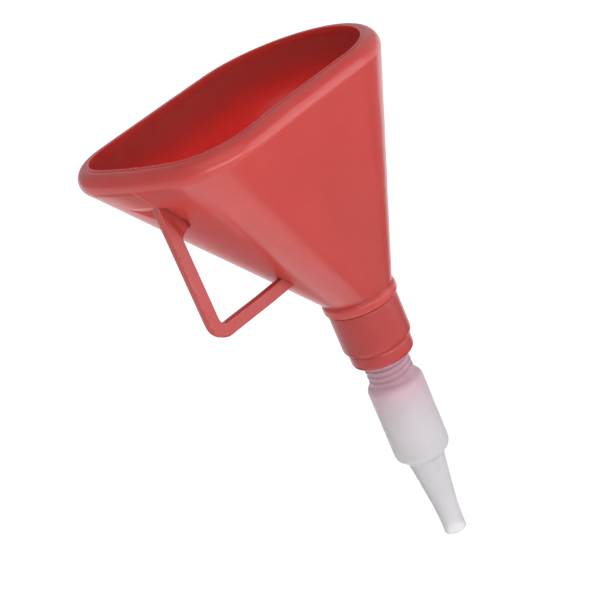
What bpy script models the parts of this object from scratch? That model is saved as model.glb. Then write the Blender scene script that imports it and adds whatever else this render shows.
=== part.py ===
"""Fuel funnel with an oblong hopper, a strap handle, a screw-on collar and a screw-on pouring nozzle.

Lengths are in millimetres until a point is made, and MM turns them into Blender's metres.
+Z points up out of the mouth, -X towards the handle. The origin is on the outlet axis, at
the flat underside of the collar's ring, where the funnel rests on a filler neck.
"""

import math

import bmesh
import bpy

MM = 0.001
GAP = 0.3  # clearance between pieces that touch on the real funnel

# Mouth, measured at the trimmed inner edge of the rim
MOUTH_Z = 218.0
MOUTH_BACK_X = -134.4
BACK_RADIUS, BACK_TURN = 240.0, 8.0  # the nearly flat end above the handle, half of it
CORNER_RADIUS, CORNER_TURN = 34.5, 80.0
SIDE_LENGTH, SIDE_TURN = 105.6, 4.0  # the long sides bulge by this slight turn
FRONT_TURN = 180.0 - BACK_TURN - CORNER_TURN - SIDE_TURN
ARC_STEPS = (1, 10, 2, 12)  # facets along back, corner, side and front

# Rim and wall
RIM_LAND = 1.6  # flat strip on top of the rim, beside the trimmed edge
RIM_RADIUS = 9.0  # roll from the land into the wall
RIM_STEPS = 8
EDGE = 0.9  # height of the trimmed edge's inner face
UNDERCUT, UNDERCUT_DEPTH = 2.4, 7.5  # how far the inside widens below the edge, and where
WALL = 2.1
WALL_FOOT_Z = 52.0
WALL_FOOT_RADIUS = 25.5

# Neck of the hopper, and the coarse thread that the collar screws on to
BEAD_RADIUS = 26.8
BEAD_Z = (50.4, 48.5, 45.7)  # its softened top, its widest part and where that ends
SHOULDER_Z = 43.5
NECK_END_Z = 17.0
NECK_BORE_RADIUS = 19.2
BORE_TOP_Z = 45.0
THREAD_CLEARANCE = 0.45  # in radius
COLLAR_PITCH = 6.0
COLLAR_THREAD_DEPTH = 1.4
NECK_VALLEY_RADIUS = 21.0
NECK_THREAD_Z = (22.5, 40.5)
COLLAR_THREAD_Z = (27.0, 39.0)

# Collar
COLLAR_RADIUS = 25.0
COLLAR_TOP_Z = 42.8
COLLAR_FLOOR_Z = 15.0
RING_RADIUS = 22.75
RING_TOP_Z = 11.0
SEAT_RADII = (17.4, 21.2)  # flat underside of the ring
POCKET_DEPTH = 8.0  # annular pocket that the nozzle's neck enters
SPIGOT_END_Z = -21.0
SPIGOT_BORE_RADIUS = 11.4

# Fine thread between the collar's spigot and the nozzle
NOZZLE_PITCH = 4.4
NOZZLE_THREAD_DEPTH = 1.2
SPIGOT_VALLEY_RADIUS = 13.4
SPIGOT_THREAD_Z = (-19.5, 5.0)
NOZZLE_THREAD_Z = (-16.5, 4.0)

# Nozzle
NOZZLE_WALL = 1.5
NOZZLE_TOP_Z = 6.0
SHOULDER_TOP_Z = -18.0
BODY_TOP_Z = -22.8
BODY_BOTTOM_Z = -78.5
BODY_RADIUS = 20.45
SPOUT_TOP_Z = -84.5
SPOUT_TOP_RADIUS = 14.0
SPOUT_WAIST_Z = -126.0
TIP_Z = -147.5
TIP_RADIUS = 8.2

# Washers
NECK_GASKET_RADII = (18.9, 22.3)
NOZZLE_WASHER_RADII = (15.0, 16.9)
WASHER_THICKNESS = 1.4

# Handle, a flat strap in the plane of symmetry
STRAP_WIDTH = 9.4
STRAP_THICKNESS = 5.6
GRIP_OUTER_X = -131.4
FOOT_LOWER_Z = 89.0
STRAP_CORNER_RADIUS = 15.0
STRAP_EDGE = 0.9
FOOT_DROP = 1.6  # the foot slopes down to the wall by this much
WEB_Z = (161.0, 165.0)  # lower edge of the web at the upper root, at the grip and at the wall

ROUND_SIDES = 36  # facets around the turned pieces
ROWS_PER_PITCH = 6

RED = (0.60, 0.075, 0.055, 1.0)
MILKY = (0.80, 0.78, 0.80, 1.0)
SEAL = (0.70, 0.70, 0.68, 1.0)


def clear_scene():
    for existing in list(bpy.data.objects):
        bpy.data.objects.remove(existing, do_unlink=True)


def make_material(name, colour, roughness, transmission=0.0):
    material = bpy.data.materials.new(name)
    material.use_nodes = True
    shader = material.node_tree.nodes["Principled BSDF"]
    shader.inputs["Base Color"].default_value = colour
    shader.inputs["Roughness"].default_value = roughness
    shader.inputs["Metallic"].default_value = 0.0
    shader.inputs["Transmission Weight"].default_value = transmission
    return material


def add_object(name, mesh, material, parent=None, origin_z=0.0):
    """An object whose origin lies on the outlet axis, at origin_z."""
    made = bpy.data.objects.new(name, mesh)
    bpy.context.scene.collection.objects.link(made)
    mesh.materials.append(material)
    mesh.shade_smooth()
    mesh.set_sharp_from_angle(angle=math.radians(40))
    made.parent = parent
    made.location.z = (origin_z - origin_of(parent)) * MM
    return made


def origin_of(parent):
    """Height of a parent's origin above the frame's, in millimetres."""
    height = 0.0
    while parent is not None:
        height += parent.location.z / MM
        parent = parent.parent
    return height


def loop_mesh(name, rings, origin_z=0.0):
    """A closed, ring-shaped body: each ring joins the next, and the last one joins the first."""
    count = len(rings[0])
    points = [(x * MM, y * MM, (z - origin_z) * MM) for ring in rings for x, y, z in ring]
    faces = []
    for row in range(len(rings)):
        here = row * count
        there = (row + 1) % len(rings) * count
        for i in range(count):
            j = (i + 1) % count
            faces.append((here + i, here + j, there + j, there + i))
    mesh = bpy.data.meshes.new(name)
    mesh.from_pydata(points, [], faces)
    body = bmesh.new()
    body.from_mesh(mesh)
    bmesh.ops.recalc_face_normals(body, faces=body.faces)
    body.to_mesh(mesh)
    body.free()
    return mesh


def screw_rise(angle, z, pitch):
    """Right-hand thread form: 0 in the valley of the outside thread, 1 on its crest."""
    return 0.5 * (1 + math.cos(math.tau * z / pitch - angle))


def turned_ring(station, pitch, angles):
    """A ring of points for one station (radius, z) or (valley radius, z, thread depth)."""
    radius, z = station[:2]
    depth = station[2] if len(station) == 3 else 0.0
    ring = []
    for angle in angles:
        r = radius + depth * screw_rise(angle, z, pitch)
        ring.append((r * math.cos(angle), r * math.sin(angle), z))
    return ring


def turned_mesh(name, stations, pitch=1.0, origin_z=0.0, sides=ROUND_SIDES):
    angles = [math.tau * i / sides for i in range(sides)]
    rings = [turned_ring(station, pitch, angles) for station in stations]
    return loop_mesh(name, rings, origin_z)


def thread_stations(valley, depth, z_range, pitch, inside):
    """Stations up a thread that runs out at both ends. An inside thread runs out to its crest radius."""
    low, high = z_range
    rows = round((high - low) / pitch * ROWS_PER_PITCH)
    stations = []
    for row in range(rows + 1):
        z = low + (high - low) * row / rows
        run_out = min(1.0, 2 * (z - low) / pitch, 2 * (high - z) / pitch)
        base = valley + depth * (1 - run_out) if inside else valley
        stations.append((base, z, depth * run_out))
    return stations


def arc_points(centre, radius, start, end, steps):
    """Points (u, v) on an arc from start to end, in degrees."""
    points = []
    for i in range(steps + 1):
        angle = math.radians(start + (end - start) * i / steps)
        points.append((centre[0] + radius * math.cos(angle), centre[1] + radius * math.sin(angle)))
    return points


def mouth_arcs():
    """(radius, turn in degrees, facets) of the arcs along half of the mouth, from back to front."""
    back, corner = math.radians(BACK_TURN), math.radians(BACK_TURN + CORNER_TURN)
    half_width = BACK_RADIUS * math.sin(back) + CORNER_RADIUS * (math.sin(corner) - math.sin(back))
    side_radius = SIDE_LENGTH / math.radians(SIDE_TURN)
    front_radius = half_width / math.sin(math.radians(FRONT_TURN))
    radii = (BACK_RADIUS, CORNER_RADIUS, side_radius, front_radius)
    turns = (BACK_TURN, CORNER_TURN, SIDE_TURN, FRONT_TURN)
    return list(zip(radii, turns, ARC_STEPS))


def mouth_outline():
    """The trimmed edge as (x, y, outward normal) points, once around, starting at the back."""
    x, y, turned = MOUTH_BACK_X, 0.0, 0.0
    half = [(x, y, (-1.0, 0.0))]
    for radius, turn, steps in mouth_arcs():
        for _ in range(steps):
            before = math.radians(turned)
            turned += turn / steps
            after = math.radians(turned)
            x += radius * (math.cos(before) - math.cos(after))
            y += radius * (math.sin(after) - math.sin(before))
            half.append((x, y, (-math.cos(after), math.sin(after))))
    mirrored = [(x, -y, (nx, -ny)) for x, y, (nx, ny) in reversed(half[1:-1])]
    return half + mirrored


def wall_slope(point):
    """Tilt from the vertical of the line that touches the roll and meets the wall's foot."""
    x, y, (nx, ny) = point
    rise = MOUTH_Z - RIM_RADIUS - WALL_FOOT_Z
    reach = x * nx + y * ny + RIM_LAND - WALL_FOOT_RADIUS
    return math.atan2(reach, rise) + math.asin(RIM_RADIUS / math.hypot(reach, rise))


def rim_point(point, radius, level):
    """A point on the roll, at level 0 on top of the rim to 1 where the roll runs into the wall."""
    x, y, (nx, ny) = point
    angle = math.pi / 2 - level * (math.pi / 2 + wall_slope(point))
    out = RIM_LAND + radius * math.cos(angle)
    return (x + nx * out, y + ny * out, MOUTH_Z - RIM_RADIUS + radius * math.sin(angle))


def inner_wall_point(point):
    """Where the inside of the wall meets the inside of the rim, UNDERCUT out from the edge."""
    x, y, (nx, ny) = point
    foot_radius, foot_z = WALL_FOOT_RADIUS - WALL, WALL_FOOT_Z + 1.0
    top = rim_point(point, RIM_RADIUS - WALL, 1.0)
    foot = (nx * foot_radius, ny * foot_radius, foot_z)
    top_out, foot_out = ((at[0] - x) * nx + (at[1] - y) * ny for at in (top, foot))
    share = (top_out - UNDERCUT) / (top_out - foot_out)
    return tuple(start + (end - start) * share for start, end in zip(top, foot))


def hopper_rings():
    """Rings from the trimmed edge, down the outside to the neck's end, and back up the inside."""
    outline = mouth_outline()
    angles = [math.atan2(ny, nx) for _, _, (nx, ny) in outline]
    levels = [i / RIM_STEPS for i in range(RIM_STEPS + 1)]
    rings = [[(x, y, MOUTH_Z - EDGE) for x, y, _ in outline], [(x, y, MOUTH_Z) for x, y, _ in outline]]
    rings += [[rim_point(p, RIM_RADIUS, level) for p in outline] for level in levels]
    stations = [(WALL_FOOT_RADIUS, WALL_FOOT_Z), (BEAD_RADIUS - 0.5, BEAD_Z[0]), (BEAD_RADIUS, BEAD_Z[1])]
    stations += [(BEAD_RADIUS, BEAD_Z[2]), (BEAD_RADIUS - 1.2, SHOULDER_Z)]
    stations += [(NECK_VALLEY_RADIUS, SHOULDER_Z)]
    thread = thread_stations(
        NECK_VALLEY_RADIUS, COLLAR_THREAD_DEPTH, NECK_THREAD_Z, COLLAR_PITCH, inside=False
    )
    stations += reversed(thread)
    stations += [(NECK_VALLEY_RADIUS, NECK_END_Z), (NECK_BORE_RADIUS, NECK_END_Z)]
    stations += [(NECK_BORE_RADIUS, BORE_TOP_Z), (WALL_FOOT_RADIUS - WALL - 1.0, WALL_FOOT_Z - 1.5)]
    stations += [(WALL_FOOT_RADIUS - WALL, WALL_FOOT_Z + 1.0)]
    rings += [turned_ring(station, COLLAR_PITCH, angles) for station in stations]
    rings.append([inner_wall_point(p) for p in outline])
    under = MOUTH_Z - UNDERCUT_DEPTH
    rings.append([(x + nx * UNDERCUT, y + ny * UNDERCUT, under) for x, y, (nx, ny) in outline])
    return rings


def collar_stations():
    """The collar, from its top, down the outside, up the bore and up the inside of the skirt."""
    inside_valley = NECK_VALLEY_RADIUS + THREAD_CLEARANCE
    inside_radius = inside_valley + COLLAR_THREAD_DEPTH
    stations = [(inside_radius + 0.5, COLLAR_TOP_Z), (COLLAR_RADIUS - 0.6, COLLAR_TOP_Z)]
    stations += [(COLLAR_RADIUS, COLLAR_TOP_Z - 0.8), (COLLAR_RADIUS, RING_TOP_Z + 3.0)]
    stations += [(COLLAR_RADIUS - 0.7, RING_TOP_Z + 1.3), (RING_RADIUS - 0.4, RING_TOP_Z)]
    stations += [(RING_RADIUS, RING_TOP_Z - 0.8), (RING_RADIUS, 2.2), (RING_RADIUS - 0.5, 0.8)]
    stations += [(SEAT_RADII[1], 0.0), (SEAT_RADII[0], 0.0), (SEAT_RADII[0], POCKET_DEPTH)]
    stations += [(SPIGOT_VALLEY_RADIUS, POCKET_DEPTH)]
    spigot_thread = thread_stations(
        SPIGOT_VALLEY_RADIUS, NOZZLE_THREAD_DEPTH, SPIGOT_THREAD_Z, NOZZLE_PITCH, inside=False
    )
    skirt_thread = thread_stations(
        inside_valley, COLLAR_THREAD_DEPTH, COLLAR_THREAD_Z, COLLAR_PITCH, inside=True
    )
    after = [(SPIGOT_VALLEY_RADIUS, SPIGOT_END_Z + 0.5), (SPIGOT_VALLEY_RADIUS - 0.5, SPIGOT_END_Z)]
    after += [(SPIGOT_BORE_RADIUS, SPIGOT_END_Z), (SPIGOT_BORE_RADIUS, 2.0)]
    after += [(NECK_GASKET_RADII[0] - 0.6, COLLAR_FLOOR_Z - 0.8)]
    after += [(NECK_GASKET_RADII[0] - 0.6, COLLAR_FLOOR_Z), (inside_radius, COLLAR_FLOOR_Z)]
    return stations, list(reversed(spigot_thread)), after, skirt_thread


def make_collar_mesh():
    """The collar's two threads have their own pitches, so its rings are made in four runs."""
    outside, spigot_thread, bore, skirt_thread = collar_stations()
    angles = [math.tau * i / ROUND_SIDES for i in range(ROUND_SIDES)]
    rings = [turned_ring(station, COLLAR_PITCH, angles) for station in outside]
    rings += [turned_ring(station, NOZZLE_PITCH, angles) for station in spigot_thread]
    rings += [turned_ring(station, COLLAR_PITCH, angles) for station in bore + skirt_thread]
    return loop_mesh("collar", rings)


def nozzle_stations():
    """The nozzle, from the top of its neck down the outside and up the inside."""
    valley = SPIGOT_VALLEY_RADIUS + THREAD_CLEARANCE
    thread = thread_stations(valley, NOZZLE_THREAD_DEPTH, NOZZLE_THREAD_Z, NOZZLE_PITCH, inside=True)
    plain = valley + NOZZLE_THREAD_DEPTH
    outer_thread = [(base + NOZZLE_WALL, z, depth) for base, z, depth in thread]
    body = [(plain + NOZZLE_WALL, SHOULDER_TOP_Z), (BODY_RADIUS - 0.4, BODY_TOP_Z + 1.6)]
    body += [(BODY_RADIUS, BODY_TOP_Z), (BODY_RADIUS, BODY_BOTTOM_Z)]
    body += [(BODY_RADIUS - 1.0, BODY_BOTTOM_Z - 2.0), (SPOUT_TOP_RADIUS, SPOUT_TOP_Z)]
    body += [(SPOUT_TOP_RADIUS - 0.9, SPOUT_TOP_Z - 4.0), (TIP_RADIUS + 0.3, SPOUT_WAIST_Z)]
    body += [(TIP_RADIUS, SPOUT_WAIST_Z - 5.0)]
    inner_body = [(radius - NOZZLE_WALL, z) for radius, z in body]
    outside = [(plain + NOZZLE_WALL, NOZZLE_TOP_Z)] + outer_thread[::-1] + body + [(TIP_RADIUS, TIP_Z)]
    inside = [(TIP_RADIUS - NOZZLE_WALL, TIP_Z)] + inner_body[::-1] + thread
    return outside + inside + [(plain, NOZZLE_TOP_Z)]


def make_washer(name, radii, low_z, material, parent):
    high_z = low_z + WASHER_THICKNESS
    stations = [(radii[1], high_z), (radii[1], low_z), (radii[0], low_z), (radii[0], high_z)]
    return add_object(name, turned_mesh(name, stations, origin_z=low_z), material, parent, low_z)


def strap_outline():
    """The handle in the XZ plane: down the grip, round the corner, in to the wall, back and up to the web."""
    slope = wall_slope((MOUTH_BACK_X, 0.0, (-1.0, 0.0)))
    rise_per_x = 1 / math.tan(slope)
    slant = 1 / math.sin(slope)

    def wall_x(z):
        return -WALL_FOOT_RADIUS - (z - WALL_FOOT_Z + GAP * slant) / rise_per_x

    def wall_z(x):
        return WALL_FOOT_Z - GAP * slant + (-WALL_FOOT_RADIUS - x) * rise_per_x

    grip_inner_x = GRIP_OUTER_X + STRAP_WIDTH
    foot_upper_z = FOOT_LOWER_Z + STRAP_WIDTH
    centre = (GRIP_OUTER_X + STRAP_CORNER_RADIUS, FOOT_LOWER_Z + STRAP_CORNER_RADIUS)
    outline = [(GRIP_OUTER_X, wall_z(GRIP_OUTER_X))]
    outline += arc_points(centre, STRAP_CORNER_RADIUS, 180, 270, 6)
    outline += [(wall_x(z - FOOT_DROP), z - FOOT_DROP) for z in (FOOT_LOWER_Z, foot_upper_z)]
    outline += arc_points(centre, STRAP_CORNER_RADIUS - STRAP_WIDTH, 270, 180, 3)
    outline += [(grip_inner_x, WEB_Z[0]), (wall_x(WEB_Z[1]), WEB_Z[1])]
    return outline


def make_handle(material):
    side = STRAP_THICKNESS / 2 * MM
    body = bmesh.new()
    corners = [body.verts.new((x * MM, -side, z * MM)) for x, z in strap_outline()]
    face = body.faces.new(corners)
    grown = bmesh.ops.extrude_face_region(body, geom=[face])["geom"]
    moved = [item for item in grown if isinstance(item, bmesh.types.BMVert)]
    bmesh.ops.translate(body, vec=(0.0, 2 * side, 0.0), verts=moved)
    bmesh.ops.recalc_face_normals(body, faces=body.faces)
    mesh = bpy.data.meshes.new("handle")
    body.to_mesh(mesh)
    body.free()
    handle = add_object("handle", mesh, material)
    soften = handle.modifiers.new("soft_edges", "BEVEL")
    soften.width = STRAP_EDGE * MM
    soften.segments = 1
    soften.limit_method = "ANGLE"
    soften.angle_limit = math.radians(60)
    return handle


def main():
    clear_scene()
    red = make_material("red_polyethylene", RED, 0.38)
    cap_red = make_material("red_cap_polyethylene", RED, 0.30)
    milky = make_material("milky_polyethylene", MILKY, 0.35, transmission=0.4)
    seal = make_material("seal_foam", SEAL, 0.8)

    add_object("hopper", loop_mesh("hopper", hopper_rings()), red)
    make_handle(red)

    outlet_axis = bpy.data.objects.new("outlet_axis", None)
    bpy.context.scene.collection.objects.link(outlet_axis)
    make_washer("neck_gasket", NECK_GASKET_RADII, COLLAR_FLOOR_Z + GAP, seal, outlet_axis)
    collar = add_object("collar", make_collar_mesh(), cap_red, outlet_axis)
    washer_z = POCKET_DEPTH - GAP - WASHER_THICKNESS
    make_washer("nozzle_washer", NOZZLE_WASHER_RADII, washer_z, seal, collar)
    add_object("nozzle", turned_mesh("nozzle", nozzle_stations(), NOZZLE_PITCH), milky, collar)


main()
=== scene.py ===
"""Looks of the fuel funnel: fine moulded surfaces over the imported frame, studio light and the camera.

Lengths are in millimetres until a point is made, and MM turns them into metres. +Z points up out
of the mouth and -X towards the handle, as in the frame.
"""

import math

import bmesh
import bpy
import numpy as np
from mathutils import Matrix, Vector


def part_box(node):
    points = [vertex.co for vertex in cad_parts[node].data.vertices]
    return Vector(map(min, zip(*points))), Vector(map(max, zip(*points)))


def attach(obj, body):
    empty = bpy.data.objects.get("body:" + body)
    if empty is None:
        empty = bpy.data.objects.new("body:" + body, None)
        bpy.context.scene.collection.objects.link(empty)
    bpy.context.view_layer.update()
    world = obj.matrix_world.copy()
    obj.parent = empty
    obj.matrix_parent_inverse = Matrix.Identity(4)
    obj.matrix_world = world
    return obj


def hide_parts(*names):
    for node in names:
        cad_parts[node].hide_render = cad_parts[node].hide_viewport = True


MM = 0.001

# Mouth, at the trimmed inner edge of the rim. Steps are the columns along each stretch of half of it
MOUTH_Z = 218.0
MOUTH_BACK_X = -134.4
BACK_RADIUS, BACK_TURN = 240.0, 8.0
CORNER_RADIUS, CORNER_TURN = 34.5, 80.0
SIDE_LENGTH, SIDE_TURN = 105.6, 4.0
FRONT_TURN = 180.0 - BACK_TURN - CORNER_TURN - SIDE_TURN
SEAM_COLUMNS = (0.0, 0.25, 0.5, 0.8, 1.3)  # distances from the parting plane, close enough for the flash
BACK_STEPS, CORNER_STEPS, SIDE_STEPS, FRONT_STEPS = 76, 42, 34, 56
SEAM_Y = -4.6  # where the parting line crosses the rim above the handle
SEAM_WIDTH, SEAM_HEIGHT = 0.5, 0.42
SEAM_START_Z, SEAM_FADE = 188.0, 16.0  # where the raised parting line begins and over what height it grows
SIDE_PINCH = (2.6, 0.8)  # the long sides pull in between the corners: at -Y and at +Y
PINCH_START, PINCH_END = 4.0, 44.0  # along the side, from the corner: where the pull begins and is full
PINCH_FADE = 30.0  # the pull dies out over this length before and after the front curve begins

# Rim, wall and neck
RIM_LAND = 1.6
RIM_RADIUS = 9.0
LIP_TOP = 1.25  # width of the trimmed lip that stands above the roll
LIP_GROOVE = 0.7
LIP_NICKS = ((SEAM_Y, 1.1, 0.9, 0.0), (61.5, 1.0, 0.6, -100.0))  # y, width, depth, and the x it stays behind
ROLL_START = 0.14  # level at which the roll comes out from under the lip
ROLL_ROWS = 16
WALL = 2.1
EDGE = 0.9  # height of the trimmed edge's inner face
UNDERCUT, UNDERCUT_RUN = 0.7, 7.0  # how far the inside widens below the edge, and over what depth
INNER_BAND = 12.0  # depth of the closely spaced rows inside the mouth
UNEVEN_WAVE, UNEVEN_RIPPLE = 0.16, 0.07  # heights of the wall's slow and quicker unevenness
UNEVEN_START, UNEVEN_FADE = 12.0, 14.0  # depth below the mouth where it begins, and over what depth it grows
BACK_WALL_X, BACK_WALL_HALF = -60.0, 40.0  # the wall by the handle: behind this x, and this far to each side
WALL_FOOT_Z = 52.0
WALL_FOOT_RADIUS = 25.5
UPPER_ROWS, LOWER_ROWS = 64, 30  # rows of the wall above and below the handle's upper root
ROOT_LOW_Z = 158.0
ROOT_DEPTH = MOUTH_Z - ROOT_LOW_Z
BEAD_RADIUS = 26.8
SHOULDER_Z = 43.5
NECK_END_Z = 17.0
NECK_BORE_RADIUS = 19.2
COLLAR_PITCH = 6.0
COLLAR_THREAD_DEPTH = 1.4
NECK_VALLEY_RADIUS = 21.0
NECK_THREAD_Z = (22.5, 40.5)
COLLAR_THREAD_Z = (27.0, 39.0)

# Collar
COLLAR_RADIUS = 25.0
COLLAR_TOP_Z = 43.15
COLLAR_FLOOR_Z = 15.0
RING_RADIUS = 22.75
RING_TOP_Z = 11.0
SEAT_RADII = (17.4, 21.2)
POCKET_DEPTH = 8.0
SPIGOT_END_Z = -21.0
SPIGOT_BORE_RADIUS = 11.4
NECK_GASKET_SEAT = 18.3
WASHER_WIDTHS = {"neck_gasket": 3.4, "nozzle_washer": 1.9}
WASHER_GIVE = 0.04
NOZZLE_PITCH = 4.4
NOZZLE_THREAD_DEPTH = 1.2
SPIGOT_VALLEY_RADIUS = 13.4
SPIGOT_THREAD_Z = (-19.5, 5.0)
NOZZLE_THREAD_Z = (-16.5, 4.0)
THREAD_GAP = 0.45

# Nozzle
NOZZLE_WALL = 1.5
NOZZLE_TOP_Z = 6.0
SHOULDER_TOP_Z = -18.0
BODY_TOP_Z = -22.8
BODY_BOTTOM_Z = -78.5
BODY_RADIUS = 20.45
SPOUT_TOP_Z = -84.5
SPOUT_TOP_RADIUS = 14.0
SPOUT_WAIST_Z = -126.0
TIP_Z = -147.5
TIP_RADIUS = 8.2
RIPPLE_DEPTH, RIPPLE_PITCH = 0.12, 2.9
RIPPLE_LOW_Z, RIPPLE_HIGH_Z = -34.0, -23.5
PAINTED_SPIGOT_GLOW_Z = (-75.0, -15.0)  # painted pink glow: the red spigot's light through the milky wall, painted into its colour over this height

# Handle
STRAP_WIDTH = 9.4
STRAP_THICKNESS = 5.6
GRIP_OUTER_X = -131.4
FOOT_LOWER_Z = 89.0
FOOT_DROP = 1.6  # the foot slopes down to the wall by this much
STRAP_CORNER_RADIUS = 15.0
STRAP_EDGE = 1.1
STRAP_SIDE_STEPS, STRAP_EDGE_STEPS = 26, 5
STRAP_SEAM_HEIGHT, STRAP_SEAM_WIDTH = 0.16, 0.12  # the width is a share of the strap's flat edge
STRAP_SEAM_SHARES = (0.5, 0.16, 0.0, -0.16, -0.5)
ROOT_SINK, FOOT_SINK = 0.5, 0.65  # how far the strap runs into the wall, so that no gap shows
ROOT_ROWS, GRIP_ROWS, TURN_ROWS, FOOT_ROWS = 26, 24, 22, 26
ROOT_ROWS_SUNK = 3  # sections at the upper root that follow the pocket into the wall
WEB_Z = 165.0  # lower edge of the web where it meets the wall
WEB_FOOT_Z = WEB_Z - 4.0  # and where it meets the grip
WEB_HALF_THICKNESS = 1.3
CREASE_SLOPE = 0.34  # how fast the strap thins out past the crease at its upper root

# The pocket beside the handle's upper root
POCKET_TOP_Z = 189.5
POCKET_REACH = 25.0  # half width at its top
POCKET_ROOT_REACH = 4.2  # and at the web's lower edge
POCKET_FLAT = 1.0  # half width of its deepest part, behind the web
POCKET_SINK = 3.1
POCKET_CURVE = 0.85
POCKET_TOP_FADE = 7.0
POCKET_STEP_DROP, POCKET_STEP = 0.6, 1.6

ROUND_SIDES = 144
ROWS_PER_PITCH = 20
SHARP_ANGLE = 40.0

# Camera: the photograph's angles in degrees, where it stands, and its focal length
CAMERA_AZIMUTH = -41.622
CAMERA_ELEVATION = 21.145
CAMERA_ROLL = -23.312
CAMERA_PLACE = (-792.93, -834.86, 506.94)
LENS = 108.77

# Studio, in metres. Azimuth 0 is at -Y and 90 at +X
FLOOR_Z = -1.2
FLOOR_HALF = 22.0
FLOOR_GLOW = 0.62
FLAG_Z = -1.1
FLAG_GREY = 0.34
FLAG_SIDES = 48
FLAGS = (((0.95, -0.65), 1.05), ((-0.35, 1.5), 0.75), ((2.2, -0.3), 0.85))  # centre and radius
WORLD_COLOUR = (1.0, 0.98, 1.03, 1.0)
WORLD_STRENGTH = 0.53
SOFTBOX_COLOUR = (1.0, 0.95, 1.04)
SOFTBOX_AIM = (-0.03, 0.0, 0.10)
SOFTBOXES = (  # name, azimuth, elevation, distance, size, power in watts
    ("key", 33, 3, 1.6, (1.15, 1.25), 8.0),
    ("front_strip", -24, -4, 1.8, (2.1, 0.5), 12.5),
    ("fill", -30, 38, 1.7, (2.0, 2.0), 9.5),
)

# Moulded reds: deep and pale pigment, the lighter red of scuffs and of the painted highlight on sharp edges,
# least and most roughness, share of light that goes through
SHELL_RED = ((0.43, 0.052, 0.043), (0.46, 0.057, 0.048), (0.54, 0.11, 0.10), (0.21, 0.26), 0.9)
STRAP_RED = ((0.36, 0.050, 0.043), (0.39, 0.055, 0.048), (0.48, 0.11, 0.10), (0.23, 0.29), 0.3)
CAP_RED = ((0.34, 0.030, 0.025), (0.37, 0.035, 0.029), (0.47, 0.085, 0.075), (0.22, 0.29), 0.15)
RUBBED_AND_HIGHLIT_EDGE = (0.53, 0.60)  # sharpness of the edges that begin to be lightened and rubbed, and that are fully so: rubbed wear, and a painted highlight such as the lip's


# ---------------------------------------------------------------- meshes


def smoothstep(t):
    """Eased step: 0 up to t = 0, 1 from t = 1."""
    t = np.clip(t, 0.0, 1.0)
    return t * t * (3 - 2 * t)


def add_piece(name, mesh, material):
    """An object of that mesh, shaded smooth but for its sharp edges."""
    made = bpy.data.objects.new(name, mesh)
    mesh.name = name
    bpy.context.scene.collection.objects.link(made)
    mesh.materials.append(material)
    mesh.shade_smooth()
    mesh.set_sharp_from_angle(angle=math.radians(SHARP_ANGLE))
    return made


def loop_mesh(rings):
    """A closed, ring-shaped body: each ring joins the next, and the last one joins the first."""
    count = len(rings[0])
    points = np.concatenate([np.asarray(ring, float) for ring in rings]) * MM
    faces = []
    for row in range(len(rings)):
        here = row * count
        there = (row + 1) % len(rings) * count
        for i in range(count):
            j = (i + 1) % count
            faces.append((here + i, here + j, there + j, there + i))
    return outward_mesh(points, faces)


def outward_mesh(points, faces):
    """A mesh of those points and faces, with every face turned outwards."""
    mesh = bpy.data.meshes.new("skin")
    mesh.from_pydata([tuple(p) for p in points], [], faces)
    body = bmesh.new()
    body.from_mesh(mesh)
    bmesh.ops.recalc_face_normals(body, faces=body.faces)
    body.to_mesh(mesh)
    body.free()
    return mesh


def screw_rise(angle, z, pitch):
    """Right-hand thread form: 0 in the valley of the outside thread, 1 on its crest."""
    wave = 0.5 * (1 + np.cos(math.tau * z / pitch - angle))
    return smoothstep(wave * 1.25 - 0.1)


def turned_ring(station, pitch, angles):
    """A ring of points for one station (radius, z) or (valley radius, z, thread depth)."""
    radius, z = station[:2]
    depth = station[2] if len(station) == 3 else 0.0
    r = radius + depth * screw_rise(angles, z, pitch)
    return np.stack([r * np.cos(angles), r * np.sin(angles), np.full(len(angles), z)], axis=1)


def round_angles():
    return np.arange(ROUND_SIDES) * math.tau / ROUND_SIDES


def thread_stations(valley, depth, z_range, pitch, inside):
    """Stations up a thread that runs out over half a pitch at each end, into the wall it stands on."""
    low, high = z_range
    rows = round((high - low) / pitch * ROWS_PER_PITCH)
    stations = []
    for row in range(rows + 1):
        z = low + (high - low) * row / rows
        run_out = min(1.0, 2 * (z - low) / pitch, 2 * (high - z) / pitch)
        base = valley + depth * (1 - run_out) if inside else valley
        stations.append((base, z, depth * run_out))
    return stations


def rounded(profile, steps=4):
    """A (radius, z) profile whose third values, where given, round each corner by that radius."""
    smooth = []
    for i, corner in enumerate(profile):
        point = Vector(corner[:2])
        reach = corner[2] if len(corner) == 3 else 0.0
        if reach == 0.0 or i in (0, len(profile) - 1):
            smooth.append(tuple(point))
            continue
        before = Vector(profile[i - 1][:2]) - point
        after = Vector(profile[i + 1][:2]) - point
        start = point + before.normalized() * min(reach, before.length * 0.49)
        end = point + after.normalized() * min(reach, after.length * 0.49)
        for k in range(steps + 1):
            t = k / steps
            smooth.append(tuple((1 - t) ** 2 * start + 2 * t * (1 - t) * point + t * t * end))
    return smooth


def spaced(profile, step):
    """The same profile with no stretch longer than step."""
    dense = [profile[0]]
    for before, after in zip(profile, profile[1:]):
        count = max(1, math.ceil(math.dist(before, after) / step))
        for k in range(1, count + 1):
            dense.append(tuple(a + (b - a) * k / count for a, b in zip(before, after)))
    return dense


# ---------------------------------------------------------------- hopper


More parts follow.
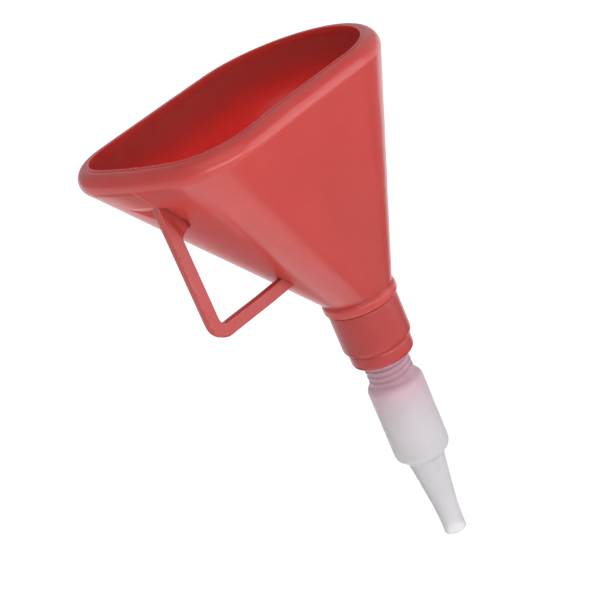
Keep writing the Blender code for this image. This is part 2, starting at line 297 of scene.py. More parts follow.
def mouth_arcs():
    """(radius, turn in degrees, fractions along it) of the arcs of half of the mouth, from back to front."""
    back, corner = math.radians(BACK_TURN), math.radians(BACK_TURN + CORNER_TURN)
    half_width = BACK_RADIUS * math.sin(back) + CORNER_RADIUS * (math.sin(corner) - math.sin(back))
    side_radius = SIDE_LENGTH / math.radians(SIDE_TURN)
    front_radius = half_width / math.sin(math.radians(FRONT_TURN))
    back_length = BACK_RADIUS * back
    near_back = [d / back_length for d in SEAM_COLUMNS]
    near_back += list(np.linspace(near_back[-1], 1.0, BACK_STEPS)[1:])
    front_length = front_radius * math.radians(FRONT_TURN)
    near_front = [1.0 - d / front_length for d in reversed(SEAM_COLUMNS)]
    near_front = list(np.linspace(0.0, near_front[0], FRONT_STEPS)[1:-1]) + near_front
    return [
        (BACK_RADIUS, BACK_TURN, near_back[1:]),
        (CORNER_RADIUS, CORNER_TURN, np.linspace(0.0, 1.0, CORNER_STEPS + 1)[1:]),
        (side_radius, SIDE_TURN, np.linspace(0.0, 1.0, SIDE_STEPS + 1)[1:]),
        (front_radius, FRONT_TURN, near_front),
    ]


def mouth_outline():
    """Arrays of the trimmed edge's (x, y), its outward normals, and how far its sides pull in."""
    x, y, turned = MOUTH_BACK_X, 0.0, 0.0
    half = [(x, y, -1.0, 0.0, 0.0)]
    for index, (radius, turn, fractions) in enumerate(mouth_arcs()):
        start = math.radians(turned)
        x_start, y_start = x, y
        for fraction in fractions:
            angle = start + math.radians(turn) * fraction
            x = x_start + radius * (math.cos(start) - math.cos(angle))
            y = y_start + radius * (math.sin(angle) - math.sin(start))
            half.append((x, y, -math.cos(angle), math.sin(angle), side_pull(index, fraction)))
        turned += turn
    mirrored = [(px, -py, nx, -ny, pull) for px, py, nx, ny, pull in reversed(half[1:-1])]
    return np.array(half + mirrored)


def side_pull(index, fraction):
    """Share of the pinch, 0 to 1, for a fraction of stretch number index of the mouth."""
    if index == 2:
        along = fraction * SIDE_LENGTH
        rise = smoothstep((along - PINCH_START) / (PINCH_END - PINCH_START))
        fall = smoothstep((SIDE_LENGTH + PINCH_FADE - along) / (2 * PINCH_FADE))
        return float(rise * fall)
    if index == 3:
        return float(smoothstep((PINCH_FADE - fraction * SIDE_LENGTH) / (2 * PINCH_FADE)))
    return 0.0


def wall_slopes(outline):
    """Tilt from the vertical of the line that touches the roll and meets the wall's foot."""
    rise = MOUTH_Z - RIM_RADIUS - WALL_FOOT_Z
    reach = (outline[:, :2] * outline[:, 2:4]).sum(axis=1) + RIM_LAND - WALL_FOOT_RADIUS
    return np.arctan2(reach, rise) + np.arcsin(RIM_RADIUS / np.hypot(reach, rise))


def roll_ring(outline, slopes, level):
    """A ring on the rim's roll, at level 0 on top of the rim to 1 where the roll runs into the wall."""
    angle = math.pi / 2 - level * (math.pi / 2 + slopes)
    out = RIM_LAND + RIM_RADIUS * np.cos(angle)
    z = MOUTH_Z - RIM_RADIUS + RIM_RADIUS * np.sin(angle)
    return np.stack([outline[:, 0] + outline[:, 2] * out, outline[:, 1] + outline[:, 3] * out, z], axis=1)


def inner_ring(outline, slopes, depth):
    """A ring on the inside, at that depth below the mouth: the wall's line, cut short under the edge."""
    normals = outline[:, 2:4]
    along = np.stack([-normals[:, 1], normals[:, 0]], axis=1)
    inner_radius = RIM_RADIUS - WALL
    start_out = RIM_LAND + inner_radius * np.cos(slopes)
    start_depth = RIM_RADIUS + inner_radius * np.sin(slopes)
    to_foot = normals * (WALL_FOOT_RADIUS - WALL) - outline[:, :2]
    foot_out = (to_foot * normals).sum(axis=1)
    share = (depth - start_depth) / (MOUTH_Z - WALL_FOOT_Z - 1.0 - start_depth)
    wall_out = start_out + (foot_out - start_out) * share
    edge_out = np.full(len(outline), UNDERCUT * smoothstep((depth - EDGE) / UNDERCUT_RUN))
    out = -np.logaddexp(-wall_out, -edge_out)
    side = (to_foot * along).sum(axis=1) * np.maximum(share, 0.0)
    xy = outline[:, :2] + normals * out[:, None] + along * side[:, None]
    return np.column_stack([xy, np.full(len(outline), MOUTH_Z - depth)])


def lip_ring(outline, out, up):
    """A ring on the trimmed lip, that far out from the edge and up from the mouth's plane."""
    z = np.full(len(outline), MOUTH_Z + up)
    return np.stack([outline[:, 0] + outline[:, 2] * out, outline[:, 1] + outline[:, 3] * out, z], axis=1)


def pocket_depth(y, z):
    """Depth of the pocket that the mould presses into the wall on each side of the handle's upper root."""
    side = np.abs(y)
    top_share = np.clip((z - WEB_Z) / (POCKET_TOP_Z - 2 - WEB_Z), 0.0, 1.0)
    edge = POCKET_ROOT_REACH + (POCKET_REACH - POCKET_ROOT_REACH) * top_share
    across = np.clip((edge - side) / (edge - POCKET_FLAT), 0.0, 1.0)
    top_fade = smoothstep((POCKET_TOP_Z - z) / POCKET_TOP_FADE)
    bottom_fade = smoothstep((z - WEB_Z + POCKET_STEP_DROP) / POCKET_STEP)
    return POCKET_SINK * across**POCKET_CURVE * top_fade * bottom_fade


def uneven(points):
    """Slow unevenness of a blow-moulded wall, in millimetres."""
    x, y, z = points.T
    wave = np.sin(x / 23.0 + 0.7) * np.sin(y / 19.0 + 1.9) * np.sin(z / 27.0 + 0.4)
    ripple = np.sin(x / 9.0 + z / 13.0) * np.sin(y / 8.0 - z / 17.0)
    return UNEVEN_WAVE * wave + UNEVEN_RIPPLE * ripple


def shaped(rings, outline, slopes, outside):
    """The hopper's upper rings with the pinch of the sides, the pocket, the flash and the unevenness."""
    normals = outline[:, 2:4]
    lean = np.stack([normals[:, 0] * np.cos(slopes), normals[:, 1] * np.cos(slopes), -np.sin(slopes)], axis=1)
    shaped_rings = []
    for ring in rings:
        ring = ring.copy()
        height = (ring[:, 2] - WALL_FOOT_Z) / (MOUTH_Z - WALL_FOOT_Z)
        pinch = np.where(outline[:, 1] < 0, *SIDE_PINCH)
        pull = pinch * outline[:, 4] * smoothstep(height)
        ring[:, :2] -= normals * pull[:, None]
        on_wall = smoothstep((MOUTH_Z - UNEVEN_START - ring[:, 2]) / UNEVEN_FADE) * smoothstep(height * 5)
        shift = uneven(ring) * on_wall
        on_back = (ring[:, 0] < BACK_WALL_X) & (np.abs(ring[:, 1]) < BACK_WALL_HALF)
        shift -= np.where(on_back, pocket_depth(ring[:, 1], ring[:, 2]), 0.0)
        if outside:
            seam = np.exp(-(((ring[:, 1] - SEAM_Y) / SEAM_WIDTH) ** 2)) * (ring[:, 0] < 0)
            fade = SEAM_HEIGHT * smoothstep((ring[:, 2] - SEAM_START_Z) / SEAM_FADE)
            shift += seam * fade * smoothstep((MOUTH_Z + 0.2 - ring[:, 2]) / 1.5)
        ring += lean * shift[:, None]
        shaped_rings.append(ring)
    return shaped_rings


def between(ring_a, ring_b, shares):
    """Rings that far from ring_a, at 0, towards ring_b, at 1."""
    return [ring_a + (ring_b - ring_a) * share for share in shares]


def wall_shares(top_z):
    """Shares down the wall, closer together beside the handle's upper root."""
    split = (top_z - ROOT_LOW_Z) / (top_z - WALL_FOOT_Z)
    upper = np.linspace(0.0, split, UPPER_ROWS + 1)[1:]
    lower = np.linspace(split, 1.0, LOWER_ROWS + 1)[1:-1]
    return np.concatenate([upper, lower])


def lip_nick(ring, outline):
    """The ring with the lip's nicks: one at the parting line, and a smaller one at the far corner."""
    ring = ring.copy()
    for y, width, depth, limit_x in LIP_NICKS:
        nick = depth * np.exp(-(((outline[:, 1] - y) / width) ** 2)) * (outline[:, 0] < limit_x)
        ring[:, :2] -= outline[:, 2:4] * nick[:, None]
    return ring


def hopper_rings():
    """Rings from the trimmed edge, down the outside to the neck's end, and back up the inside."""
    outline = mouth_outline()
    slopes = wall_slopes(outline)
    angles = np.arctan2(outline[:, 3], outline[:, 2])
    outside = [lip_nick(lip_ring(outline, 0.0, -0.2), outline)]
    outside += [lip_nick(lip_ring(outline, 0.2, 0.0), outline)]
    outside += [lip_ring(outline, LIP_TOP, 0.0), lip_ring(outline, LIP_TOP + 0.25, -0.2)]
    outside += [lip_ring(outline, LIP_TOP + 0.5, -LIP_GROOVE), lip_ring(outline, LIP_TOP + 1.0, -LIP_GROOVE)]
    levels = np.linspace(ROLL_START, 1.0, ROLL_ROWS)
    outside += [roll_ring(outline, slopes, level) for level in levels]
    foot = turned_ring((WALL_FOOT_RADIUS, WALL_FOOT_Z), COLLAR_PITCH, angles)
    top_z = float(outside[-1][0, 2])
    outside += between(outside[-1], foot, wall_shares(top_z))
    outside = shaped(outside, outline, slopes, outside=True)

    low = MOUTH_Z - WALL_FOOT_Z - 1.0
    depths = [low - (low - ROOT_DEPTH) * share for share in np.linspace(0.0, 1.0, LOWER_ROWS)]
    upper = np.linspace(0.0, 1.0, UPPER_ROWS)[1:]
    depths += [ROOT_DEPTH - (ROOT_DEPTH - INNER_BAND) * share for share in upper]
    depths += list(np.linspace(INNER_BAND, EDGE, ROLL_ROWS)[1:])
    inside = [inner_ring(outline, slopes, depth) for depth in depths]
    inside[-1] = lip_nick(inside[-1], outline)
    inside = shaped(inside, outline, slopes, outside=False)

    return outside + [turned_ring(s, COLLAR_PITCH, angles) for s in neck_stations()] + inside


def neck_stations():
    """From the wall's foot over the bead, down the threaded neck and up the bore."""
    bead_z = WALL_FOOT_Z - 3.5
    outer = [(WALL_FOOT_RADIUS, WALL_FOOT_Z, 0.8), (BEAD_RADIUS, bead_z + 1.2, 1.0)]
    outer += [(BEAD_RADIUS, SHOULDER_Z + 1.4, 1.2), (BEAD_RADIUS - 1.3, SHOULDER_Z, 0.5)]
    outer += [(NECK_VALLEY_RADIUS, SHOULDER_Z, 0.5), (NECK_VALLEY_RADIUS, NECK_THREAD_Z[1])]
    thread = thread_stations(NECK_VALLEY_RADIUS, COLLAR_THREAD_DEPTH, NECK_THREAD_Z, COLLAR_PITCH, False)
    inner = [(NECK_VALLEY_RADIUS, NECK_THREAD_Z[0]), (NECK_VALLEY_RADIUS, NECK_END_Z, 0.5)]
    inner += [(NECK_BORE_RADIUS, NECK_END_Z, 0.4), (NECK_BORE_RADIUS, SHOULDER_Z + 1.5, 2.0)]
    inner += [(WALL_FOOT_RADIUS - WALL - 1.0, WALL_FOOT_Z - 1.5, 1.0)]
    inner += [(WALL_FOOT_RADIUS - WALL, WALL_FOOT_Z + 1.0)]
    outer = spaced(rounded(outer), 1.5)
    inner = spaced(rounded(inner), 2.5)
    return outer + thread[::-1][1:-1] + inner


# ---------------------------------------------------------------- handle


def back_wall():
    """Slope of the wall in the plane of symmetry, and the height at which it is at a given x."""
    reach = -MOUTH_BACK_X + RIM_LAND - WALL_FOOT_RADIUS
    rise = MOUTH_Z - RIM_RADIUS - WALL_FOOT_Z
    slope = math.atan2(reach, rise) + math.asin(RIM_RADIUS / math.hypot(reach, rise))

    def wall_z(x):
        return WALL_FOOT_Z + (-WALL_FOOT_RADIUS - x) / math.tan(slope)

    def wall_x(z):
        return -WALL_FOOT_RADIUS - (z - WALL_FOOT_Z) * math.tan(slope)

    return slope, wall_x, wall_z


def strap_stations():
    """(outer point, inner point) pairs in the XZ plane, from the upper root to the foot."""
    slope, wall_x, wall_z = back_wall()
    sink_x, sink_z = ROOT_SINK * math.cos(slope), ROOT_SINK * math.sin(slope)
    inner_x = GRIP_OUTER_X + STRAP_WIDTH
    web_x = wall_x(WEB_Z)
    top = wall_z(GRIP_OUTER_X)
    stations = []
    for i in range(ROOT_ROWS + 1):
        t = i / ROOT_ROWS
        outer = (GRIP_OUTER_X + sink_x * (1 - t) ** 3, top + sink_z - (top + sink_z - WEB_FOOT_Z) * t)
        inner = (
            web_x + sink_x + (inner_x - web_x - sink_x) * smoothstep(t),
            WEB_Z + sink_z + (WEB_FOOT_Z - WEB_Z - sink_z) * t,
        )
        stations.append((outer, inner))
    grip_low = FOOT_LOWER_Z + STRAP_CORNER_RADIUS
    for i in range(1, GRIP_ROWS + 1):
        z = WEB_FOOT_Z + (grip_low - WEB_FOOT_Z) * i / GRIP_ROWS
        stations.append(((GRIP_OUTER_X, z), (inner_x, z)))
    centre_x = GRIP_OUTER_X + STRAP_CORNER_RADIUS
    for i in range(1, TURN_ROWS + 1):
        angle = math.radians(180 + 90 * i / TURN_ROWS)
        pair = []
        for radius in (STRAP_CORNER_RADIUS, STRAP_CORNER_RADIUS - STRAP_WIDTH):
            pair.append((centre_x + radius * math.cos(angle), grip_low + radius * math.sin(angle)))
        stations.append(tuple(pair))
    foot_upper_z = FOOT_LOWER_Z + STRAP_WIDTH
    ends = [wall_x(z - FOOT_DROP) + FOOT_SINK for z in (FOOT_LOWER_Z, foot_upper_z)]
    for i in range(1, FOOT_ROWS + 1):
        t = i / FOOT_ROWS
        drop = FOOT_DROP * smoothstep(t * 1.4) * 0.5 + FOOT_DROP * t * 0.5
        lower = (centre_x + (ends[0] - centre_x) * t, FOOT_LOWER_Z - drop)
        upper = (centre_x + (ends[1] - centre_x) * t, foot_upper_z - drop)
        stations.append((lower, upper))
    return stations


def half_thickness(x, z):
    """Half of the strap's thickness, which steps down past a crease at the upper root."""
    full = STRAP_THICKNESS / 2
    if z < WEB_FOOT_Z - 1.0:
        return full
    top = Vector((GRIP_OUTER_X, POCKET_TOP_Z))
    low = Vector((GRIP_OUTER_X + STRAP_WIDTH, WEB_FOOT_Z))
    along = (low - top).normalized()
    past = (x - top.x) * -along.y + (z - top.y) * along.x
    return max(WEB_HALF_THICKNESS, full - CREASE_SLOPE * max(0.0, past))


def strap_section(outer, inner):
    """One closed ring around the strap: across one side, round the inner edge, back on the other side."""
    outer, inner = Vector(outer), Vector(inner)
    width = (inner - outer).length
    across = (inner - outer) / width
    corner = []
    for k in range(STRAP_EDGE_STEPS + 1):
        angle = math.pi / 2 * k / STRAP_EDGE_STEPS
        corner.append((STRAP_EDGE * (1 - math.cos(angle)), STRAP_EDGE * (1 - math.sin(angle))))
    flat = width - 2 * STRAP_EDGE
    side = corner + [(STRAP_EDGE + flat * k / STRAP_SIDE_STEPS, 0.0) for k in range(1, STRAP_SIDE_STEPS)]
    side += [(width - distance, inset) for distance, inset in reversed(corner)]
    ring = []
    for sign, run, end, push in ((-1, side, inner, across), (1, side[::-1], outer, -across)):
        for distance, inset in run:
            spot = outer + across * distance
            ring.append((spot.x, sign * (half_thickness(spot.x, spot.y) - inset), spot.y))
        half_edge = half_thickness(end.x, end.y) - STRAP_EDGE
        for share in STRAP_SEAM_SHARES:
            spot = end + push * (STRAP_SEAM_HEIGHT * math.exp(-((share / STRAP_SEAM_WIDTH) ** 2)))
            ring.append((spot.x, sign * half_edge * share * 2 * 0.9, spot.y))
    return ring


def handle_mesh():
    """The strap, whose first sections lie in the pocket, closed with a face at each end."""
    sections = [strap_section(outer, inner) for outer, inner in strap_stations()]
    slope = back_wall()[0]
    for row in range(ROOT_ROWS_SUNK):
        share = 1 - row / ROOT_ROWS_SUNK
        for i, (x, y, z) in enumerate(sections[row]):
            sink = share * float(pocket_depth(np.array(STRAP_THICKNESS / 2), np.array(z)))
            sections[row][i] = (x + sink * math.cos(slope), y, z + sink * math.sin(slope))
    count = len(sections[0])
    points = np.array([p for section in sections for p in section]) * MM
    faces = []
    for row in range(len(sections) - 1):
        for i in range(count):
            j = (i + 1) % count
            faces.append((row * count + i, row * count + j, (row + 1) * count + j, (row + 1) * count + i))
    faces.append(tuple(range(count))[::-1])
    faces.append(tuple((len(sections) - 1) * count + i for i in range(count)))
    return outward_mesh(points, faces)


# ---------------------------------------------------------------- collar, nozzle and seals


def collar_mesh():
    """Skirt, lower ring, pocket for the washer, threaded spigot, and the bore with the inside thread."""
    inside_valley = NECK_VALLEY_RADIUS + THREAD_GAP
    inside_radius = inside_valley + COLLAR_THREAD_DEPTH
    outer = [(inside_radius + 0.5, COLLAR_TOP_Z - 0.3), (inside_radius + 0.9, COLLAR_TOP_Z, 0.3)]
    outer += [(COLLAR_RADIUS, COLLAR_TOP_Z, 0.9), (COLLAR_RADIUS, RING_TOP_Z + 2.4, 1.8)]
    outer += [(COLLAR_RADIUS - 1.9, RING_TOP_Z + 0.4, 0.8), (RING_RADIUS - 0.5, RING_TOP_Z - 0.3, 0.5)]
    outer += [(RING_RADIUS, RING_TOP_Z - 1.6, 0.8), (RING_RADIUS, 1.6, 1.8), (SEAT_RADII[1], 0.0, 0.8)]
    outer += [(SEAT_RADII[0], 0.0, 0.4), (SEAT_RADII[0], POCKET_DEPTH, 0.5)]
    outer += [(SPIGOT_VALLEY_RADIUS, POCKET_DEPTH, 0.5), (SPIGOT_VALLEY_RADIUS, SPIGOT_THREAD_Z[1])]
    spigot = thread_stations(SPIGOT_VALLEY_RADIUS, NOZZLE_THREAD_DEPTH, SPIGOT_THREAD_Z, NOZZLE_PITCH, False)
    bore = [(SPIGOT_VALLEY_RADIUS, SPIGOT_THREAD_Z[0]), (SPIGOT_VALLEY_RADIUS, SPIGOT_END_Z, 0.5)]
    bore += [(SPIGOT_BORE_RADIUS, SPIGOT_END_Z, 0.4), (SPIGOT_BORE_RADIUS, 2.0, 3.0)]
    bore += [(NECK_GASKET_SEAT, COLLAR_FLOOR_Z - 0.8, 0.4), (NECK_GASKET_SEAT, COLLAR_FLOOR_Z, 0.2)]
    bore += [(inside_radius, COLLAR_FLOOR_Z, 0.6), (inside_radius, COLLAR_THREAD_Z[0])]
    skirt = thread_stations(inside_valley, COLLAR_THREAD_DEPTH, COLLAR_THREAD_Z, COLLAR_PITCH, True)
    angles = round_angles()
    rings = [turned_ring(s, COLLAR_PITCH, angles) for s in spaced(rounded(outer), 2.0)]
    rings += [turned_ring(s, NOZZLE_PITCH, angles) for s in spigot[::-1][1:-1]]
    rings += [turned_ring(s, COLLAR_PITCH, angles) for s in spaced(rounded(bore), 2.5)]
    rings += [turned_ring(s, COLLAR_PITCH, angles) for s in skirt[1:]]
    return loop_mesh(rings)


def nozzle_outside():
    """The nozzle's outer profile below the thread, with radii that round its corners."""
    plain = SPIGOT_VALLEY_RADIUS + THREAD_GAP + NOZZLE_THREAD_DEPTH + NOZZLE_WALL
    return [
        (plain, NOZZLE_THREAD_Z[0]),
        (plain, SHOULDER_TOP_Z + 0.2, 1.2),
        (BODY_RADIUS - 0.9, BODY_TOP_Z + 2.2, 1.5),
        (BODY_RADIUS, BODY_TOP_Z - 0.2, 1.6),
        (BODY_RADIUS, BODY_BOTTOM_Z + 0.5, 3.2),
        (SPOUT_TOP_RADIUS + 1.2, SPOUT_TOP_Z + 1.4, 1.6),
        (SPOUT_TOP_RADIUS, SPOUT_TOP_Z, 0.8),
        (SPOUT_TOP_RADIUS - 1.0, SPOUT_TOP_Z - 5.0, 2.5),
        (TIP_RADIUS + 0.5, SPOUT_WAIST_Z, 12.0),
        (TIP_RADIUS, TIP_Z + 8.0, 2.0),
        (TIP_RADIUS, TIP_Z, 0.35),
    ]


def rippled(profile):
    """The profile with the faint rings that the mould leaves below the nozzle's shoulder."""
    made = []
    for radius, z in profile:
        in_band = smoothstep((z - RIPPLE_LOW_Z) / 3.0) * smoothstep((RIPPLE_HIGH_Z - z) / 1.5)
        wave = 0.5 + 0.5 * math.cos(math.tau * z / RIPPLE_PITCH)
        made.append((radius - RIPPLE_DEPTH * in_band * wave, z))
    return made


def nozzle_mesh():
    """The milky nozzle: thread outside and inside the collar end, body and spout, at one wall thickness."""
    valley = SPIGOT_VALLEY_RADIUS + THREAD_GAP
    thread = thread_stations(valley, NOZZLE_THREAD_DEPTH, NOZZLE_THREAD_Z, NOZZLE_PITCH, True)
    plain = valley + NOZZLE_THREAD_DEPTH
    outer_thread = [(base + NOZZLE_WALL, z, depth) for base, z, depth in thread]
    outer = nozzle_outside()
    outer.append((TIP_RADIUS - NOZZLE_WALL, TIP_Z))
    inner = [(radius - NOZZLE_WALL, z, *rest) for radius, z, *rest in nozzle_outside()]
    rings = [turned_ring((plain + NOZZLE_WALL - 0.3, NOZZLE_TOP_Z), 1.0, round_angles())]
    stations = [(plain + NOZZLE_WALL, NOZZLE_TOP_Z - 0.3)] + outer_thread[::-1]
    stations += rippled(spaced(rounded(outer, steps=6), 0.7))[1:]
    stations += spaced(rounded(inner, steps=4), 1.6)[::-1][1:]
    stations += thread[1:]
    stations += [(plain, NOZZLE_TOP_Z - 0.3), (plain + 0.3, NOZZLE_TOP_Z)]
    rings += [turned_ring(s, NOZZLE_PITCH, round_angles()) for s in stations]
    return loop_mesh(rings)


def washer_mesh(node):
    """A foam ring in the node's box, with rounded edges."""
    low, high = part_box(node)
    outer = high.x / MM
    inner = outer - WASHER_WIDTHS[node]
    low_z, high_z = low.z / MM, high.z / MM
    profile = [(outer, high_z, 0.35), (outer, low_z, 0.35), (inner, low_z, 0.35), (inner, high_z, 0.35)]
    closed = [((inner + outer) / 2, high_z)] + profile + [((inner + outer) / 2, high_z)]
    stations = spaced(rounded(closed, steps=4), 0.5)[:-1]
    angles = round_angles()
    rings = []
    for radius, z in stations:
        give = WASHER_GIVE * np.sin(angles * 9) * math.cos(z * 3)
        ring = turned_ring((radius, z), 1.0, angles)
        ring[:, 2] += np.clip(give, low_z - z, high_z - z)
        rings.append(ring)
    return loop_mesh(rings)


# ---------------------------------------------------------------- materials


def new_material(name):
    """A material, its node tree and its shader node."""
    material = bpy.data.materials.new(name)
    material.use_nodes = True
    return material, material.node_tree, material.node_tree.nodes["Principled BSDF"]


def noise(tree, place, scale, detail=3.0, roughness=0.55):
    node = tree.nodes.new("ShaderNodeTexNoise")
    node.inputs["Scale"].default_value = scale
    node.inputs["Detail"].default_value = detail
    node.inputs["Roughness"].default_value = roughness
    tree.links.new(place, node.inputs["Vector"])
    return node.outputs["Fac"]


def object_place(tree, stretch=(1.0, 1.0, 1.0)):
    coordinates = tree.nodes.new("ShaderNodeTexCoord")
    mapping = tree.nodes.new("ShaderNodeMapping")
    mapping.inputs["Scale"].default_value = stretch
    tree.links.new(coordinates.outputs["Object"], mapping.inputs["Vector"])
    return mapping.outputs["Vector"]


def ramp(tree, value, stops):
    node = tree.nodes.new("ShaderNodeValToRGB")
    elements = node.color_ramp.elements
    elements[0].position, elements[0].color = stops[0]
    elements[1].position, elements[1].color = stops[-1]
    for position, colour in stops[1:-1]:
        elements.new(position).color = colour
    tree.links.new(value, node.inputs["Fac"])
    return node.outputs["Color"]


def mixed(tree, share, a, b, blend="MIX"):
    node = tree.nodes.new("ShaderNodeMix")
    node.data_type = "RGBA"
    node.blend_type = blend
    for socket, value in ((node.inputs["Factor"], share), (node.inputs[6], a), (node.inputs[7], b)):
        if isinstance(value, bpy.types.NodeSocket):
            tree.links.new(value, socket)
        else:
            socket.default_value = value
    return node.outputs[2]


def scaled(tree, value, low, high, from_low=0.0, from_high=1.0):
    node = tree.nodes.new("ShaderNodeMapRange")
    node.inputs["From Min"].default_value = from_low
    node.inputs["From Max"].default_value = from_high
    node.inputs["To Min"].default_value = low
    node.inputs["To Max"].default_value = high
    tree.links.new(value, node.inputs["Value"])
    return node.outputs["Result"]


def bump(tree, height, strength, distance, before=None):
    node = tree.nodes.new("ShaderNodeBump")
    node.inputs["Strength"].default_value = strength
    node.inputs["Distance"].default_value = distance
    tree.links.new(height, node.inputs["Height"])
    if before is not None:
        tree.links.new(before, node.inputs["Normal"])
    return node.outputs["Normal"]


def grey(value):
    return (value, value, value, 1.0)


def moulded_plastic(name, deep, pale, scuff_and_highlight, roughness, translucency):
    """Moulded polyethylene: mottled pigment, a fine satin grain, flow marks, scuffs, and sharp edges
    lightened both as rubbed wear and as a painted highlight.
    """
    deep, pale, scuff_and_highlight = (*deep, 1.0), (*pale, 1.0), (*scuff_and_highlight, 1.0)
    material, tree, shader = new_material(name)
    place = object_place(tree)
    flow = object_place(tree, (1.0, 1.0, 0.22))
    clouds = noise(tree, place, 26.0, 4.0)
    speckle = noise(tree, place, 900.0, 2.0)
    streaks = noise(tree, flow, 120.0, 3.0)
    colour = ramp(tree, clouds, [(0.36, deep), (0.64, pale)])
    colour = mixed(tree, scaled(tree, speckle, 0.0, 0.10, 0.4, 0.75), colour, scuff_and_highlight)
    colour = mixed(tree, scaled(tree, streaks, 0.0, 0.5, 0.2, 0.8), colour, deep)
    # Sharp edges in random patches turn the lighter red and rougher: rubbed wear, and a painted highlight, as
    # along the lip.
    geometry = tree.nodes.new("ShaderNodeNewGeometry")
    edges = scaled(tree, geometry.outputs["Pointiness"], 0.0, 1.0, *RUBBED_AND_HIGHLIT_EDGE)
    patches = scaled(tree, noise(tree, place, 60.0, 5.0, 0.7), 0.0, 1.0, 0.45, 0.7)
    rubbed_and_highlit = tree.nodes.new("ShaderNodeMath")
    rubbed_and_highlit.operation = "MULTIPLY"
    rubbed_and_highlit.use_clamp = True
    tree.links.new(edges, rubbed_and_highlit.inputs[0])
    tree.links.new(patches, rubbed_and_highlit.inputs[1])
    colour = mixed(tree, rubbed_and_highlit.outputs["Value"], colour, scuff_and_highlight)
    tree.links.new(colour, shader.inputs["Base Color"])
    satin = mixed(tree, streaks, grey(roughness[0]), grey(roughness[1]))
    satin = mixed(tree, rubbed_and_highlit.outputs["Value"], satin, grey(min(1.0, roughness[1] + 0.15)))
    tree.links.new(satin, shader.inputs["Roughness"])
    grain = bump(tree, noise(tree, place, 1500.0, 2.0), 0.10, 0.00012)
    peel = bump(tree, noise(tree, place, 240.0, 2.0), 0.06, 0.0004, grain)
    tree.links.new(peel, shader.inputs["Normal"])
    shader.inputs["IOR"].default_value = 1.5
    shader.inputs["Specular IOR Level"].default_value = 0.42
    shader.inputs["Subsurface Weight"].default_value = translucency
    shader.inputs["Subsurface Radius"].default_value = (1.0, 0.08, 0.06)
    shader.inputs["Subsurface Scale"].default_value = 0.02
    return material


def milky_plastic():
    """Natural polyethylene of the nozzle: cloudy, satin and half clear, with the red spigot's pink glow
    through it painted into its colour near the top.
    """
    material, tree, shader = new_material("milky_polyethylene_look")
    place = object_place(tree)
    flow = object_place(tree, (1.0, 1.0, 0.2))
    clouds = noise(tree, place, 55.0, 4.0)
    streaks = noise(tree, flow, 260.0, 3.0)
    colour = ramp(tree, clouds, [(0.35, (0.77, 0.77, 0.76, 1.0)), (0.65, (0.81, 0.81, 0.80, 1.0))])
    colour = mixed(tree, scaled(tree, streaks, 0.0, 0.35, 0.45, 0.8), colour, (0.88, 0.88, 0.87, 1.0))
    # Painted glow: the base colour turns pink towards the collar, standing in for the red spigot's light seen
    # through the wall.
    height = tree.nodes.new("ShaderNodeSeparateXYZ")
    tree.links.new(place, height.inputs["Vector"])
    behind = scaled(tree, height.outputs["Z"], 0.0, 1.0, PAINTED_SPIGOT_GLOW_Z[0] * MM, PAINTED_SPIGOT_GLOW_Z[1] * MM)
    painted_glow_tints = [(0.0, grey(1.0)), (0.55, (0.99, 0.94, 0.96, 1.0)), (1.0, (1.0, 0.70, 0.78, 1.0))]
    glow = ramp(tree, behind, painted_glow_tints)
    colour = mixed(tree, 1.0, colour, glow, "MULTIPLY")
    tree.links.new(colour, shader.inputs["Base Color"])
    tree.links.new(mixed(tree, streaks, grey(0.30), grey(0.40)), shader.inputs["Roughness"])
    grain = bump(tree, noise(tree, place, 1200.0, 2.0), 0.12, 0.00012)
    drawn = bump(tree, noise(tree, place, 190.0, 2.0), 0.12, 0.0004, grain)
    tree.links.new(drawn, shader.inputs["Normal"])
    shader.inputs["IOR"].default_value = 1.3
    shader.inputs["Transmission Weight"].default_value = 0.65
    return material


def seal_foam():
    """Closed-cell foam: fine pits, painted darker as shade inside them, and a dusty, uneven tone."""
    material, tree, shader = new_material("seal_foam_look")
    place = object_place(tree)
    cells = tree.nodes.new("ShaderNodeTexVoronoi")
    cells.inputs["Scale"].default_value = 2600.0
    tree.links.new(place, cells.inputs["Vector"])
    dust = noise(tree, place, 180.0, 4.0)
    colour = ramp(tree, dust, [(0.35, (0.60, 0.60, 0.57, 1.0)), (0.7, (0.74, 0.74, 0.71, 1.0))])
    # The pits are painted darker: painted shade inside them.
    colour = mixed(tree, scaled(tree, cells.outputs["Distance"], 0.35, 0.0), colour, (0.40, 0.40, 0.38, 1.0))
    tree.links.new(colour, shader.inputs["Base Color"])
    tree.links.new(scaled(tree, dust, 0.72, 0.92), shader.inputs["Roughness"])
    tree.links.new(bump(tree, cells.outputs["Distance"], 0.5, 0.0001), shader.inputs["Normal"])
    return material


# ---------------------------------------------------------------- studio


def bearing(azimuth, elevation):
    """Unit vector from the object towards that azimuth and elevation in degrees."""
    a, e = math.radians(azimuth), math.radians(elevation)
    return Vector((math.sin(a) * math.cos(e), -math.cos(a) * math.cos(e), math.sin(e)))


def camera_axes():
    """Unit vectors to the right, up and back of the camera."""
    azimuth, roll = math.radians(CAMERA_AZIMUTH), math.radians(CAMERA_ROLL)
    back = bearing(CAMERA_AZIMUTH, CAMERA_ELEVATION)
    level = Vector((math.cos(azimuth), math.sin(azimuth), 0.0))
    upright = back.cross(level)
    right = math.cos(roll) * level + math.sin(roll) * upright
    up = -math.sin(roll) * level + math.cos(roll) * upright
    return right, up, back


def make_camera():
    right, up, back = camera_axes()
    data = bpy.data.cameras.new("camera")
    data.sensor_width = 36.0
    data.lens = LENS
    data.dof.use_dof = False
    camera = bpy.data.objects.new("camera", data)
    bpy.context.scene.collection.objects.link(camera)
    rotation = Matrix((right, up, back)).transposed().to_4x4()
    camera.matrix_world = Matrix.Translation(Vector(CAMERA_PLACE) * MM) @ rotation
    bpy.context.scene.camera = camera


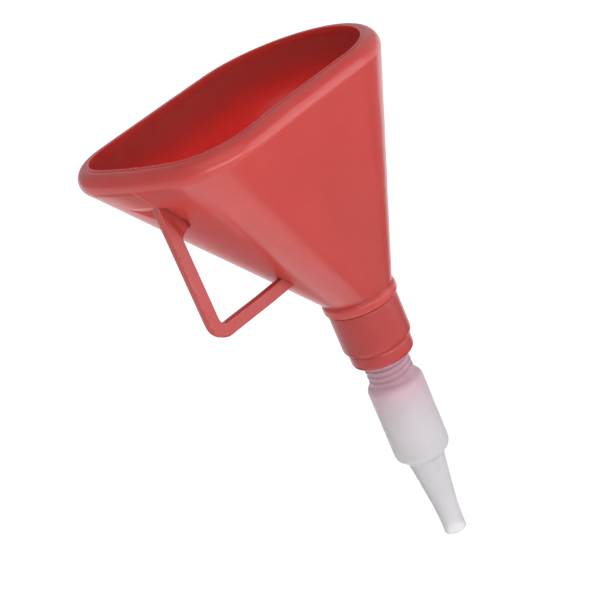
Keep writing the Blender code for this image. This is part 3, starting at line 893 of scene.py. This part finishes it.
def softbox(name, azimuth, elevation, distance, size, power):
    """An area light at that bearing and distance, aimed at the object."""
    data = bpy.data.lights.new(name, "AREA")
    data.shape = "RECTANGLE"
    data.size, data.size_y = size
    data.energy = power
    data.color = SOFTBOX_COLOUR
    light = bpy.data.objects.new(name, data)
    bpy.context.scene.collection.objects.link(light)
    way = bearing(azimuth, elevation)
    light.location = Vector(SOFTBOX_AIM) + way * distance
    light.rotation_euler = way.to_track_quat("Z", "Y").to_euler()
    light.visible_camera = False


def make_world():
    world = bpy.data.worlds.new("studio")
    world.use_nodes = True
    background = world.node_tree.nodes["Background"]
    background.inputs["Color"].default_value = WORLD_COLOUR
    background.inputs["Strength"].default_value = WORLD_STRENGTH
    bpy.context.scene.world = world


def make_floor():
    """A wide, plain pale floor far below the object."""
    mesh = bpy.data.meshes.new("floor")
    signs = ((-1, -1), (1, -1), (1, 1), (-1, 1))
    corners = [(sign_x * FLOOR_HALF, sign_y * FLOOR_HALF, FLOOR_Z) for sign_x, sign_y in signs]
    mesh.from_pydata(corners, [], [(0, 1, 2, 3)])
    material, tree, shader = new_material("pale_floor")
    mottle = noise(tree, object_place(tree), 3.0)
    tree.links.new(ramp(tree, mottle, [(0.3, grey(0.79)), (0.7, grey(0.81))]), shader.inputs["Base Color"])
    shader.inputs["Emission Color"].default_value = (1.0, 1.0, 1.0, 1.0)
    shader.inputs["Emission Strength"].default_value = FLOOR_GLOW
    shader.inputs["Roughness"].default_value = 0.9
    shader.inputs["Specular IOR Level"].default_value = 0.1
    add_piece("floor", mesh, material)


def make_flag(index, centre, radius):
    """A studio flag: a grey disc low beside the object that takes some light off its lower walls."""
    mesh = bpy.data.meshes.new("flag")
    turns = [math.tau * i / FLAG_SIDES for i in range(FLAG_SIDES)]
    points = [(centre[0] + radius * math.cos(t), centre[1] + radius * math.sin(t), FLAG_Z) for t in turns]
    mesh.from_pydata(points, [], [tuple(range(FLAG_SIDES))])
    material, _, shader = new_material("grey_flag")
    shader.inputs["Base Color"].default_value = grey(FLAG_GREY)
    shader.inputs["Roughness"].default_value = 0.9
    flag = add_piece(f"flag_{index}", mesh, material)
    flag.visible_camera = False
    flag.visible_transmission = False
    flag.visible_shadow = False


# ---------------------------------------------------------------- assembly


def install(name, mesh, material, body, node):
    """Adds a piece that rides on the body, has the given look and stands in for the CAD node."""
    piece = add_piece(name, mesh, material)
    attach(piece, body)
    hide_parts(node)


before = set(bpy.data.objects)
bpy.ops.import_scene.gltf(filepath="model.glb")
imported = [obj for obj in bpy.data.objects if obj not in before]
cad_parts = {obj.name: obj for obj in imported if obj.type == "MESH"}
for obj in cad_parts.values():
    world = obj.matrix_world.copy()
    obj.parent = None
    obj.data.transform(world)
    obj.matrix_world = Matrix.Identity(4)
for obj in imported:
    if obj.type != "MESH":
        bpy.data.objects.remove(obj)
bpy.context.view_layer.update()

bpy.context.scene.view_settings.view_transform = "Standard"
make_camera()
make_world()
make_floor()
for flag_index, (flag_centre, flag_radius) in enumerate(FLAGS):
    make_flag(flag_index, flag_centre, flag_radius)
for box in SOFTBOXES:
    softbox(*box)

shell_red = moulded_plastic("red_shell_look", *SHELL_RED)
strap_red = moulded_plastic("red_strap_look", *STRAP_RED)
cap_red = moulded_plastic("red_cap_look", *CAP_RED)
foam = seal_foam()

install("hopper_skin", loop_mesh(hopper_rings()), shell_red, "hopper", "hopper")
install("handle_skin", handle_mesh(), strap_red, "hopper", "handle")
install("collar_skin", collar_mesh(), cap_red, "collar", "collar")
install("nozzle_skin", nozzle_mesh(), milky_plastic(), "nozzle", "nozzle")
install("gasket_foam", washer_mesh("neck_gasket"), foam, "neck_gasket", "neck_gasket")
install("washer_foam", washer_mesh("nozzle_washer"), foam, "nozzle_washer", "nozzle_washer")
